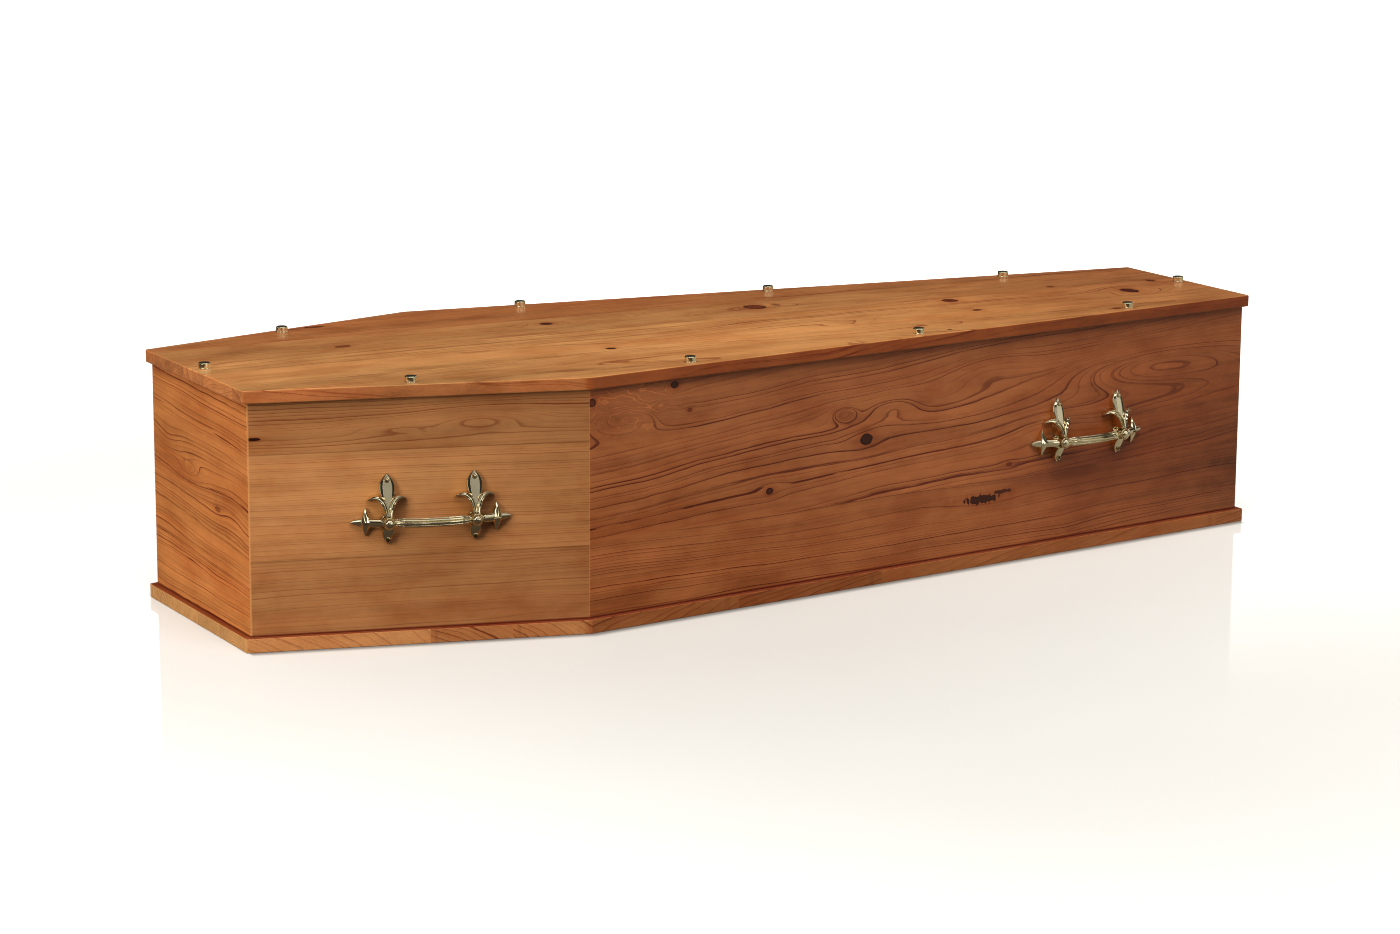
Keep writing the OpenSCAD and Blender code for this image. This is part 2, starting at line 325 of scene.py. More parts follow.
        # painted shade under the lid: the wall is darkened and reddened towards its top, with a darker line right under
        # the lid
        col = mix(step(v, 0.352, 0.393) * (0.50 * under_lid_shade), col, mix(1.0, col, (0.90, 0.62, 0.51), "MULTIPLY"))
        col = mix(step(v, 0.3875, 0.3915) * (0.75 * under_lid_shade), col, mix(1.0, col, (0.50, 0.30, 0.24), "MULTIPLY"))
    # painted highlight: a pale line down the board's two end arrises
    if arris_highlight_ends is not None:
        e = m("MINIMUM", u, arris_highlight_ends - u)
        col = mix(step(e, 0.0034, 0.0014) * 0.55, col, tuple(min(1, c * 1.7) for c in early))
    # painted shade: the base's upward faces, the ledge round the walls, are coloured dark red
    if ledge_shade is not None:
        col = mix(step(split(nrm)[2], 0.6, 0.9) * 0.8, col, ledge_shade)
    # glue lines between the staves
    for top, *_ in staves[:-1]:
        g = step(m("ABSOLUTE", v - top), 0.0011, 0.0002)
        col = mix(g * glue, col, tuple(c * 0.45 for c in late))
    # painted shade: a dark red line along the foot of the wall, where it meets the base
    if foot_shade_line is not None:
        g = step(v, foot_shade_line + 0.0042, foot_shade_line + 0.0016)
        col = mix(g * 0.9, col, srgb(74, 16, 7))
    put(bsdf.inputs["Base Color"], col)
    worn = noise(vec(u * 3.0, v * 3.0, w * 3.0 + seed), 1.0, 4.0, 0.6)
    put(bsdf.inputs["Roughness"], m("MULTIPLY", lin(worn, 0.3, 0.7, 0.40, 0.52) + late_f * 0.04, 1.0, clamp=True))
    h = fibre * 0.4 - dash * 1.5 + (worn - 0.5) * 1.2
    put(bsdf.inputs["Normal"], bump(h, 0.18, 0.0005))
    bsdf.inputs["Coat Weight"].default_value = coat
    bsdf.inputs["Coat Roughness"].default_value = gloss
    bsdf.inputs["Coat IOR"].default_value = 1.45
    bsdf.inputs["Specular IOR Level"].default_value = 0.12
    return mat


# ---------------------------------------------------------------- boards
def prism(name, pts, z0, z1, matrix, corner, arris, material, node):
    """A solid board: the outline pts from z0 to z1, with rounded corners and arrises, in its own frame."""
    inv = matrix.inverted()
    bm = bmesh.new()
    lo = [bm.verts.new(inv @ Vector((x, y, z0))) for x, y in pts]
    hi = [bm.verts.new(inv @ Vector((x, y, z1))) for x, y in pts]
    n = len(pts)
    bm.faces.new(list(reversed(lo)))
    bm.faces.new(hi)
    upright = []
    for i in range(n):
        f = bm.faces.new((lo[i], lo[(i + 1) % n], hi[(i + 1) % n], hi[i]))
    bm.normal_update()
    bmesh.ops.recalc_face_normals(bm, faces=bm.faces)
    up = Vector((0, 0, 1))
    if corner:
        es = [e for e in bm.edges if abs((e.verts[1].co - e.verts[0].co).normalized().dot(up)) > 0.99]
        bmesh.ops.bevel(bm, geom=es, offset=corner, segments=4, profile=0.5, affect="EDGES", clamp_overlap=True)
    bm.normal_update()
    es = [e for e in bm.edges if len(e.link_faces) == 2 and e.calc_face_angle() > 0.6]
    bmesh.ops.bevel(bm, geom=es, offset=arris, segments=3, profile=0.5, affect="EDGES", clamp_overlap=True)
    me = bpy.data.meshes.new(name)
    bm.to_mesh(me)
    bm.free()
    ob = bpy.data.objects.new(name, me)
    bpy.context.scene.collection.objects.link(ob)
    ob.matrix_world = matrix
    me.materials.append(material)
    shade(ob, 35)
    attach(ob, "root")
    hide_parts(node)
    return ob


def shade(ob, angle=None):
    me = ob.data
    me.polygons.foreach_set("use_smooth", [True] * len(me.polygons))
    if angle is not None:
        bm = bmesh.new()
        bm.from_mesh(me)
        lim = math.radians(angle)
        for e in bm.edges:
            e.smooth = not (len(e.link_faces) == 2 and e.calc_face_angle() > lim)
        # big flat faces keep flat shading beside the rounded arrises
        bm.to_mesh(me)
        bm.free()
        w = ob.modifiers.new("weights", "WEIGHTED_NORMAL")
        w.keep_sharp = True
    me.update()


def wall_frame(i):
    p = plan(0)
    a, b = Vector((*p[i], 0)), Vector((*p[(i + 1) % 6], 0))
    d = (b - a).normalized()
    inward = Vector((0, 0, 1)).cross(d)
    return Matrix(((d.x, inward.x, 0, a.x), (d.y, inward.y, 0, a.y), (0, 0, 1, 0), (0, 0, 0, 1)))


C_A = (srgb(153, 105, 63), srgb(98, 48, 24))
C_B = (srgb(163, 96, 53), srgb(84, 31, 12))
C_H = (srgb(187, 117, 60), srgb(98, 35, 13))
C_L = (srgb(180, 127, 74), srgb(116, 52, 22))
C_BASE = (srgb(176, 118, 68), srgb(108, 52, 24))

ZB, ZL = Z_BASE, Z_LID
# painted light on this board: brighter to the left and darker to the right, a pale painted highlight on both end
# arrises and a golden painted reflection of the brass round each handle plate
mat_a = pine("pine_side_short", False, 0.0, 0.42, [
    (0.138, 0.42, 0.06, 0.0050, 0.010, 1.00, 0.55, 0.55),
    (0.303, -0.16, 0.02, 0.0038, -0.004, 1.07, 0.0, 0.72),
    (0.42, 0.46, 0.03, 0.0056, 0.012, 0.92, 0.50, 1.15)],
    [(0.010, 0.328, 0.009, 0.0022, 1.9, 1.6, 0.002)],
    [(0.355, 0.346, 0.095, 0.017, 0.026), (0.215, 0.338, 0.07, 0.012, 0.012), (0.45, 0.05, 0.05, 0.02, 0.004)],
    *C_A, seed=3.0, foot_shade_line=ZB, swirl=(0.02, 0.035), cloud=1.35, under_lid_shade=0.3, arris_highlight_ends=0.5280, years=2.6,
    tone_and_painted_light_patches=[(0.02, 0.22, 0.20, 0.12, 0.12), (0.50, 0.22, 0.16, 0.2, -0.08), (0.05, 0.37, 0.14, 0.05, -0.05)],
    stains_and_painted_light=[(0.52, 0.10, 0.16, 0.14, 0.35, (0.86, 0.70, 0.62)), (0.196, 0.220, 0.026, 0.045, 0.55, (1.24, 1.20, 0.86)),
            (0.332, 0.220, 0.026, 0.045, 0.55, (1.24, 1.20, 0.86))])
# painted light on this board: painted shade darkening the foot end towards the bottom, a painted shadow below the
# foot-end handle and a golden painted reflection of the brass beside each handle plate
mat_b = pine("pine_side_long", False, 0.0, 0.42, [
    (0.142, -0.30, 0.05, 0.0046, 0.004, 0.99, 0.25, 1.10),
    (0.42, 0.60, 0.085, 0.0090, 0.070, 1.0, 0.30, 1.0)],
    [(0.544, 0.243, 0.0115, 0.0085, 1.75, 1.5, 0.012), (0.347, 0.181, 0.0065, 0.005, 1.6, 1.4, 0.006),
     (0.160, 0.374, 0.007, 0.005, 1.6, 1.2, 0.004), (0.004, 0.362, 0.007, 0.006, 1.3, 1.2, 0.004),
     (0.500, 0.285, 0.020, 0.007, 0.22, 1.2, 0.010), (0.791, 0.112, 0.031, 0.0058, 1.7, 1.3, 0.004),
     (0.838, 0.120, 0.018, 0.0026, 1.5, 1.3, 0.002), (0.851, 0.165, 0.005, 0.0028, 0.9, 1.2, 0.003),
     (0.189, 0.331, 0.004, 0.003, 0.9, 1.2, 0.003)],
    [(1.19, 0.302, 0.20, 0.034, 0.085), (0.600, 0.292, 0.060, 0.022, 0.030), (0.497, 0.290, 0.024, 0.013, 0.040),
     (0.05, 0.335, 0.07, 0.028, 0.075), (0.93, 0.215, 0.10, 0.03, 0.020), (0.80, 0.33, 0.10, 0.03, 0.03)],
    *C_B, seed=12.4, foot_shade_line=ZB, swirl=(0.05, 0.09), cloud=1.6, glue=0.0, pale=(0.075, 0.365, 0.080, 0.050), under_lid_shade=True, years=3.4,
    tone_and_painted_light_patches=[(1.38, 0.09, 0.32, 0.24, -0.42), (0.80, 0.20, 0.30, 0.2, 0.08), (0.15, 0.37, 0.20, 0.05, -0.06)],
    stains_and_painted_light=[(1.22, 0.17, 0.26, 0.16, 1.0, (0.80, 0.61, 0.49)), (1.00, 0.130, 0.13, 0.034, 0.85, (0.60, 0.42, 0.38)),
            (0.934, 0.205, 0.020, 0.045, 0.6, (1.22, 1.04, 0.66)), (1.070, 0.205, 0.018, 0.045, 0.6, (1.22, 1.04, 0.66))])
mat_h = pine("pine_end", False, 0.0, 0.42, [
    (0.42, -0.42, 0.06, 0.0070, -0.05, 1.0, 0.15, 1.35)],
    [(0.265, 0.197, 0.010, 0.004, 0.6, 1.6, 0.010)],
    [(0.150, 0.235, 0.055, 0.016, 0.030), (0.06, 0.27, 0.07, 0.03, 0.016), (0.33, 0.21, 0.07, 0.05, -0.014)],
    *C_H, seed=23.0, foot_shade_line=ZB, swirl=(0.05, 0.08), cloud=1.5, under_lid_shade=True,
    stains_and_painted_light=[(0.14, 0.24, 0.22, 0.07, 0.35, (0.82, 0.76, 0.78))],
    tone_and_painted_light_patches=[(0.20, 0.09, 0.30, 0.08, 0.14)])
mat_back_long = pine("pine_side_long_back", False, 0.0, 0.42, [
    (0.16, 0.40, 0.05, 0.0042, 0.01, 0.98, 0.2, 0.6),
    (0.42, -0.10, 0.07, 0.0060, 0.03, 1.0, 0.25, 0.85)],
    [(0.41, 0.25, 0.010, 0.007, 1.6, 1.4, 0.010), (0.93, 0.12, 0.008, 0.005, 1.4, 1.3, 0.006)],
    [(0.22, 0.29, 0.12, 0.03, 0.030), (1.1, 0.26, 0.15, 0.03, 0.025), (0.42, 0.25, 0.10, 0.03, 0.02)],
    *C_B, seed=31.0, foot_shade_line=ZB, swirl=(0.05, 0.09), cloud=1.4, under_lid_shade=True)
mat_back_short = pine("pine_side_short_back", False, 0.0, 0.42, [
    (0.20, 0.42, 0.06, 0.0046, -0.01, 0.95, 0.4, 0.6), (0.42, -0.12, 0.04, 0.0040, 0.01, 1.0, 0.1, 0.85)],
    [(0.30, 0.27, 0.008, 0.005, 1.5, 1.4, 0.008)], [(0.16, 0.30, 0.08, 0.02, 0.02)],
    *C_A, seed=41.0, foot_shade_line=ZB, swirl=(0.03, 0.05), cloud=1.3, under_lid_shade=True)
mat_f = pine("pine_end_foot", False, 0.0, 0.42, [
    (0.21, -0.12, 0.05, 0.0044, 0.02, 1.0, 0.2, 0.8), (0.42, 0.55, 0.06, 0.0052, -0.02, 0.98, 0.25, 1.0)],
    [(0.12, 0.27, 0.009, 0.006, 1.5, 1.4, 0.010)], [(0.20, 0.29, 0.07, 0.03, 0.03)],
    *C_H, seed=53.0, foot_shade_line=ZB, swirl=(0.05, 0.07), cloud=1.4, under_lid_shade=True)
mat_lid = pine("pine_lid", True, -0.36, 0.36, [
    (-0.165, -0.05, 0.09, 0.0075, 0.03, 1.00, 0.10, 0.75),
    (-0.045, -0.30, 0.10, 0.0070, -0.02, 1.07, 0.0, 0.75),
    (0.034, 0.35, 0.06, 0.0062, 0.03, 1.08, 0.0, 0.8),
    (0.088, -0.25, 0.08, 0.0058, 0.01, 0.94, 0.30, 0.8),
    (0.168, 0.45, 0.09, 0.0075, -0.03, 0.93, 0.40, 0.85),
    (0.250, -0.20, 0.08, 0.0060, 0.01, 0.86, 0.95, 0.9),
    (0.36, 0.60, 0.07, 0.0060, 0.01, 0.88, 1.0, 0.9)],
    [(-0.661, 0.080, 0.013, 0.007, 0.90, 1.6, 0.012), (-0.629, 0.268, 0.016, 0.006, 1.1, 1.3, 0.006),
     (-0.276, 0.121, 0.010, 0.009, 1.6, 1.3, 0.010), (-0.289, -0.133, 0.008, 0.006, 1.8, 1.6, 0.008),
     (0.117, 0.108, 0.017, 0.019, 1.0, 1.7, 0.016), (0.160, 0.112, 0.006, 0.010, 0.7, 1.2, 0.006),
     (0.450, 0.012, 0.013, 0.014, 1.1, 1.5, 0.010), (0.437, -0.092, 0.008, 0.006, 1.6, 1.4, 0.006),
     (0.288, -0.235, 0.004, 0.003, 1.6, 1.2, 0.003), (0.791, -0.042, 0.013, 0.020, 1.4, 1.5, 0.012),
     (0.890, 0.030, 0.007, 0.008, 1.2, 1.2, 0.006), (0.659, -0.187, 0.007, 0.005, 0.9, 1.2, 0.006),
     (0.691, 0.056, 0.006, 0.006, 0.9, 1.2, 0.006)],
    [(0.15, 0.11, 0.16, 0.035, 0.030), (-0.62, 0.10, 0.10, 0.04, 0.030), (0.62, -0.10, 0.2, 0.03, 0.020),
     (-0.28, -0.10, 0.16, 0.03, 0.018), (0.35, -0.13, 0.2, 0.03, 0.022), (-0.1, -0.24, 0.25, 0.03, 0.02)],
    *C_L, seed=61.0, swirl=(0.05, 0.10), gloss=0.12, coat=0.40, edge=(0.74, 0.55, 0.54), turn=(-0.442, (0.73, 0.53, 0.40)), cloud=1.6,
    tone_and_painted_light_patches=[(0.05, -0.18, 0.35, 0.12, 0.24), (-0.75, -0.05, 0.22, 0.25, -0.10), (0.85, 0.0, 0.28, 0.3, -0.10), (-0.62, -0.26, 0.26, 0.10, -0.15)],
    stains_and_painted_light=[(0.88, 0.0, 0.26, 0.4, 0.75, (0.84, 0.68, 0.66)), (0.55, -0.05, 0.25, 0.3, 0.45, (0.94, 0.76, 0.62)), (-0.3, 0.27, 0.7, 0.11, 0.9, (1.02, 0.84, 0.74)),
            (-0.62, 0.06, 0.20, 0.10, 0.35, (0.94, 0.82, 0.72))])
mat_base = pine("pine_base", True, -0.36, 0.36, [
    (-0.312, -0.22, 0.03, 0.0040, 0.01, 0.98, 0.3, 0.9), (-0.278, -0.22, 0.03, 0.0040, 0.01, 0.94, 0.35, 0.9),
    (-0.190, -0.10, 0.05, 0.0036, 0.0, 1.04, 0.0, 0.5), (-0.095, -0.15, 0.015, 0.0042, 0.0, 0.98, 0.15, 0.9),
    (-0.005, -0.04, 0.03, 0.0032, 0.0, 0.94, 0.25, 1.1), (0.125, 0.30, 0.03, 0.0044, 0.0, 1.02, 0.0, 0.8),
    (0.22, 0.05, 0.04, 0.0040, 0.0, 0.95, 0.2, 0.8), (0.36, 0.60, 0.06, 0.0044, 0.0, 1.0, 0.1, 0.8)],
    [], [], *C_BASE, seed=71.0, swirl=(0.03, 0.04), coat=0.3, ledge_shade=srgb(92, 14, 5), glue=0.2, turn=(-0.442, (0.76, 0.60, 0.53)), edge=(0.94, 0.96, 1.04),
    stains_and_painted_light=[(-0.56, -0.29, 0.07, 0.06, 0.7, (0.84, 0.70, 0.64))])

I4 = Matrix.Identity(4)
prism("base_board_wood", plan(OVER_B), 0.0, Z_BASE, I4, 0.0015, 0.0009, mat_base, "base_board")
prism("lid_board_wood", plan(OVER_L), Z_LID, Z_TOP, I4, 0.0040, 0.0018, mat_lid, "lid")
for i, node, mat in ((0, "side_front_short", mat_a), (1, "side_front_long", mat_b), (2, "foot_panel", mat_f),
                     (3, "side_back_long", mat_back_long), (4, "side_back_short", mat_back_short),
                     (5, "head_panel", mat_h)):
    o, n = plan(0), plan(-BOARD)
    j = (i + 1) % 6
    prism(node + "_wood", [o[i], o[j], n[j], n[i]], Z_BASE, Z_LID, wall_frame(i), 0, 0.0007, mat, node)


# ---------------------------------------------------------------- brass
def brass_material(name, colour, rough, tarnish=0.25, seed=0.0, grain=1.0):
    mat, nt, bsdf = new_material(name)
    co, nrm = object_coords()
    x, y, z = split(co)
    a = noise(vec(x * 60.0 + seed, y * 60.0, z * 60.0), 1.0, 4.0, 0.6)
    b = noise(vec(x * 420.0, y * 420.0 + seed, z * 420.0), 1.0, 3.0, 0.55)
    col = mix(step(a, 0.35, 0.75) * tarnish, colour, tuple(c * k for c, k in zip(colour, (0.80, 0.70, 0.52))))
    put(bsdf.inputs["Base Color"], col)
    bsdf.inputs["Metallic"].default_value = 1.0
    put(bsdf.inputs["Roughness"], lin(a * 0.7 + b * 0.3, 0.3, 0.7, rough * 0.7, rough * 1.4))
    put(bsdf.inputs["Normal"], bump(a * 0.95 + b * 0.05, 0.007 * grain, 0.0003))
    return mat


brass = brass_material("brass_handle", srgb(236, 224, 186), 0.045, 0.3)
brass_cap = brass_material("brass_cap", srgb(248, 234, 188), 0.05, 0.15, 5.0)
# the lower screws get a dark brass: painted shade, standing in for the shade under the boss
brass_screw_shaded = brass_material("brass_screw_shaded", srgb(120, 104, 70), 0.20, 0.6, 9.0)


# ---------------------------------------------------------------- handles, mm in the handle's own frame
def bez(*p):
    """A quadratic or cubic curve through control points, as a function of t."""
    p = [np.array(q, float) for q in p]

    def at(t):
        q = p
        while len(q) > 1:
            q = [(1 - t) * u + t * w for u, w in zip(q, q[1:])]
        return q[0]
    return at


def petal(bm, left, right, height, profile, n=28, t0=0.0, t1=1.0, power=1.0, floor_z=0.0):
    """A cast leaf: its two edge curves, the height of its face along it, and the profile of the face across it.

    profile is a list of (q, drop): q runs -1..1 from the left edge to the right, drop is how far the face lies below
    the height there, as a share of the local half width, limited to 3 mm."""
    rings = []
    for i in range(n + 1):
        t = t0 + (t1 - t0) * (1 - (1 - i / n) ** power)
        l, r = left(t), right(t)
        c, h = (l + r) / 2, height(t)
        hw = max(np.linalg.norm(r - l) / 2, 0.02)
        row = [(l[0], l[1], floor_z)]
        for q, drop in profile:
            p = c + (r - l) / 2 * q
            row.append((p[0], p[1], max(h - min(drop * hw, drop * 12.0), floor_z + 0.4)))
        row.append((r[0], r[1], floor_z))
        rings.append([bm.verts.new(v) for v in row])
    k = len(rings[0])
    for u, w in zip(rings, rings[1:]):
        for j in range(k):
            bm.faces.new((u[j], u[(j + 1) % k], w[(j + 1) % k], w[j]))
    bm.faces.new(list(reversed(rings[0])))
    bm.faces.new(rings[-1])


def lathe(bm, profile, n=48, at=(0, 0), wobble=None):
    """A turned shape about Z from (radius, z) points; a zero radius closes it."""
    rows = []
    for r, z in profile:
        if r < 1e-6:
            rows.append([bm.verts.new((at[0], at[1], z))])
        else:
            rows.append([bm.verts.new((at[0] + r * math.cos(2 * math.pi * i / n),
                                       at[1] + r * math.sin(2 * math.pi * i / n), z)) for i in range(n)])
    for u, w in zip(rows, rows[1:]):
        for i in range(n):
            j = (i + 1) % n
            if len(u) == 1 and len(w) == 1:
                continue
            if len(u) == 1:
                bm.faces.new((u[0], w[j], w[i]))
            elif len(w) == 1:
                bm.faces.new((u[i], u[j], w[0]))
            else:
                bm.faces.new((u[i], u[j], w[j], w[i]))


def arc(cx, cz, r, a0, a1, n):
    return [(cx + r * math.cos(math.radians(a0 + (a1 - a0) * i / n)), cz + r * math.sin(math.radians(a0 + (a1 - a0) * i / n)))
            for i in range(n + 1)]


FACET = [(-1.0, 0.44), (-0.98, 0.34), (-0.95, 0.28), (-0.91, 0.25), (-0.88, 0.225), (-0.60, 0.035), (-0.55, 0.0), (0.0, -0.01),
         (0.55, 0.0), (0.60, 0.035), (0.88, 0.225), (0.91, 0.25), (0.95, 0.28), (0.98, 0.34), (1.0, 0.44)]
ROUND = [(-1.0, 0.62), (-0.93, 0.40), (-0.80, 0.24), (-0.60, 0.12), (-0.36, 0.04), (0.0, 0.0), (0.36, 0.04),
         (0.60, 0.12), (0.80, 0.24), (0.93, 0.40), (1.0, 0.62)]
CURL = [(-1.0, 0.60), (-0.90, 0.26), (-0.72, 0.05), (-0.50, 0.02), (-0.26, 0.20), (-0.08, 0.40), (0.10, 0.36),
        (0.34, 0.10), (0.58, -0.02), (0.80, 0.10), (0.93, 0.34), (1.0, 0.62)]
RIDGE = [(-1.0, 0.70), (-0.92, 0.50), (-0.50, 0.26), (-0.06, 0.01), (0.0, 0.0), (0.06, 0.01), (0.50, 0.26),
         (0.92, 0.50), (1.0, 0.70)]
smooth = lambda t: t * t * (3 - 2 * t)


def plate_mesh(bm):
    # upright petal with its flat facet
    def half(y):
        if y < 14:
            return 4.0
        if y < 52.9:
            return 4.0 + 8.1 * smooth((y - 14) / 38.9)
        return 12.1 * max(0.0, 1 - ((y - 52.9) / 20.6) ** 2.1)
    ys = lambda t: 9.7 + 63.7 * t
    top = lambda t: 25.0 - 20.0 * t
    petal(bm, lambda t: np.array((-half(ys(t)), ys(t))), lambda t: np.array((half(ys(t)), ys(t))), top, FACET, 40, power=1.35)
    # two curling leaves that part in front of it
    for sgn in (1, -1):
        sp = bez((2.4, 9.8), (3.4, 33.0), (14.0, 45.0), (31.2, 33.7))
        def edge(side, sp=sp, sgn=sgn):
            def f(t):
                e = 1e-3
                p, d = sp(t), sp(min(t + e, 1)) - sp(max(t - e, 0))
                d = d / np.linalg.norm(d)
                w = (2.5 + 2.3 * math.sin(math.pi * t)) * (1 - t ** 4)
                p = p + np.array((-d[1], d[0])) * w * side
                return np.array((p[0] * sgn, p[1]))
            return f
        lt, rt = (edge(1), edge(-1)) if sgn > 0 else (edge(-1), edge(1))
        pr = CURL if sgn > 0 else [(-q, d) for q, d in reversed(CURL)]
        petal(bm, lt, rt, lambda t: 26.6 - 19.0 * t ** 1.15 + 1.6 * math.sin(math.pi * t), pr, 34, power=1.25)
    # lower leaf
    def low(y):
        return (7.4 + 1.2 * smooth(min(1, (y - 9) / 8))) if y < 17 else 8.6 * max(0.0, 1 - ((y - 17) / 19.0) ** 2)
    yl = lambda t: 9.6 + 26.3 * t
    petal(bm, lambda t: np.array((low(yl(t)), -yl(t))), lambda t: np.array((-low(yl(t)), -yl(t))),
          lambda t: 19.4 - 14.2 * t, [(q, d * 0.7) for q, d in FACET], 26, power=1.3)
    # spear
    def spear(x):
        if x < 13.5:
            return 3.6 + 3.0 * smooth((x - 9.6) / 3.9)
        return 6.6 if x < 34 else 6.6 * max(0.0, 1 - ((x - 34) / 23.0) ** 2.6) ** 0.8
    xs = lambda t: 9.8 + 47.1 * t
    petal(bm, lambda t: np.array((xs(t), spear(xs(t)))), lambda t: np.array((xs(t), -spear(xs(t)))),
          lambda t: 23.7 - 18.4 * t ** 1.1, ROUND, 38, power=1.25)
    # hooked side leaves of the spear
    for sgn in (1, -1):
        inn = bez((19.0, 2.0), (30.5, 6.5), (33.0, 21.8))
        out = bez((41.0, 1.0), (39.6, 11.0), (33.7, 21.9))
        f = lambda c, sgn=sgn: (lambda t: np.array((c(t)[0], c(t)[1] * sgn)))
        lt, rt = (f(inn), f(out)) if sgn > 0 else (f(out), f(inn))
        petal(bm, lt, rt, lambda t: 17.5 - 12.0 * t, [(q, d * 0.8) for q, d in ROUND], 26, power=1.3)
    # slab and post behind the boss, collar at the foot of the stem
    lathe(bm, [(0, 0), (11.2, 0), (11.2, 7.4), (10.6, 8.0), (8.0, 8.3), (7.9, 12.0), (0, 12.0)], 40)
    for y, w, zt, r in ((11.9, 5.6, 25.4, 1.3),):
        ring = []
        for i in range(15):
            x = -w + 2 * w * i / 14
            z = zt - 2.2 * (x / w) ** 4
            ring.append([bm.verts.new((x, y + r * math.cos(a), z + r * math.sin(a)))
                         for a in (2 * math.pi * k / 12 for k in range(12))])
        for u, v_ in zip(ring, ring[1:]):
            for k in range(12):
                bm.faces.new((u[k], u[(k + 1) % 12], v_[(k + 1) % 12], v_[k]))
        bm.faces.new(list(reversed(ring[0])))
        bm.faces.new(ring[-1])
    # raised seats round the two screws
    for y, zt in ((64.0, 9.6), (-28.0, 11.9)):
        lathe(bm, [(3.05, zt - 2.4), (3.05, zt - 0.25), (3.35, zt), (3.75, zt - 0.1), (4.1, zt - 0.7), (4.4, zt - 2.6)], 36, (0, y))


def boss_mesh(bm):
    lathe(bm, [(0, 26.1), (8.8, 26.1), (9.45, 26.3), (9.75, 26.9), (9.75, 27.5), (9.45, 28.2), (9.0, 28.5), (8.6, 28.35),
               (8.35, 27.9)] + [(8.3 * math.cos(a), 28.0 + 6.7 * math.sin(a))
                                for a in (math.pi / 2 * k / 14 for k in range(14))] + [(0, 34.7)], 64)


def bar_mesh(bm):
    R, half = 257.6, math.radians(15.2)
    n, seg = 200, 80
    rows = []
    for i in range(seg + 1):
        a = -half + 2 * half * i / seg
        x, z = R * math.sin(a), 29.0 - R * (1 - math.cos(a))
        x = max(-61.5, min(61.5, x * 61.5 / (R * math.sin(half))))
        e = 61.5 - abs(x)                                     # distance from the end
        r = 7.75 if e > 18 else 5.5 + 2.25 * smooth(max(0.0, e / 18))
        bead = 1.1 * math.exp(-((e - 2.6) / 0.8) ** 2)
        reed = smooth(min(1.0, max(0.0, (e - 3.2) / 4.0)))
        dx, dz = math.cos(a), -math.sin(a)                    # along the bar
        row = []
        for k in range(n):
            ph = 2 * math.pi * k / n
            q = (ph * 8 / (2 * math.pi) + 0.5) % 1.0           # place across one reed
            q = min(q, 1 - q)
            rho = r + bead - reed * (1.30 * math.exp(-(q / 0.11) ** 2) + 0.62 * (1 - 2 * q) ** 2)
            cy, cn = rho * math.cos(ph), rho * math.sin(ph)
            row.append(bm.verts.new((x - cn * dz, cy, z + cn * dx)))
        rows.append(row)
    for u, w in zip(rows, rows[1:]):
        for k in range(n):
            bm.faces.new((u[k], u[(k + 1) % n], w[(k + 1) % n], w[k]))
    bm.faces.new(list(reversed(rows[0])))
    bm.faces.new(rows[-1])
    for sx in (-67.5, 67.5):
        lathe(bm, [(0, 12.1), (8.4, 12.1), (8.9, 12.6), (8.9, 13.6), (8.0, 14.6), (7.6, 16.5), (7.6, 21.5), (8.0, 23.6),
                   (8.8, 24.6), (8.8, 25.6), (8.4, 26.0), (0, 26.0)], 48, (sx, 0))


def screw_mesh(bm, at, z, turn):
    """A slotted round head."""
    n, r = 40, 2.85
    prof = [(2.85, 0.0), (2.85, 0.9), (2.6, 1.45), (2.0, 1.85), (1.2, 2.1), (0.4, 2.2)]
    ca, sa = math.cos(turn), math.sin(turn)
    g = 12
    grid = {}
    for i in range(-g, g + 1):
        for j in range(-g, g + 1):
            px, py = i / g, j / g
            d = max(abs(px), abs(py))
            rr = math.hypot(px, py)
            k = r * d / rr if rr else 0
            x, y = px * k, py * k
            h = 0.9 + 1.3 * math.sqrt(max(0.0, 1 - (math.hypot(x, y) / r) ** 2))
            if abs(y) < 0.42:
                h -= 1.05 if abs(y) < 0.30 else 0.5
            grid[i, j] = bm.verts.new((at[0] + x * ca - y * sa, at[1] + x * sa + y * ca, z + max(h, 0.55)))
    for i in range(-g, g):
        for j in range(-g, g):
            bm.faces.new((grid[i, j], grid[i + 1, j], grid[i + 1, j + 1], grid[i, j + 1]))
    rim = ([grid[i, -g] for i in range(-g, g)] + [grid[g, j] for j in range(-g, g)] +
           [grid[i, g] for i in range(g, -g, -1)] + [grid[-g, j] for j in range(g, -g, -1)])
    low = [bm.verts.new((v.co.x, v.co.y, z)) for v in rim]
    k = len(rim)
    for i in range(k):
        bm.faces.new((low[i], low[(i + 1) % k], rim[(i + 1) % k], rim[i]))
    bm.faces.new(list(reversed(low)))


def part(name, node, matrix, material, build, mirror=False, shift=0.0, angle=32):
    bm = bmesh.new()
    build(bm)
    for v in bm.verts:
        x = -v.co.x if mirror else v.co.x
        v.co = Vector(((x + shift) * MM, v.co.y * MM, v.co.z * MM))
    bmesh.ops.recalc_face_normals(bm, faces=bm.faces)
    me = bpy.data.meshes.new(name)
    bm.to_mesh(me)
    bm.free()
    ob = bpy.data.objects.new(name, me)
    bpy.context.scene.collection.objects.link(ob)
    ob.matrix_world = matrix
    me.materials.append(material)
    shade(ob, angle)
    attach(ob, "root")
    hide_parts(node)
    return ob


L_A = math.hypot(XS - XH, (SH_W - HEAD_W) / 2)
L_B = math.hypot(XF - XS, (SH_W - FOOT_W) / 2)
HANDLE_Z, HEAD_AT, FOOT_AT = 0.194, 0.2775, 1.020


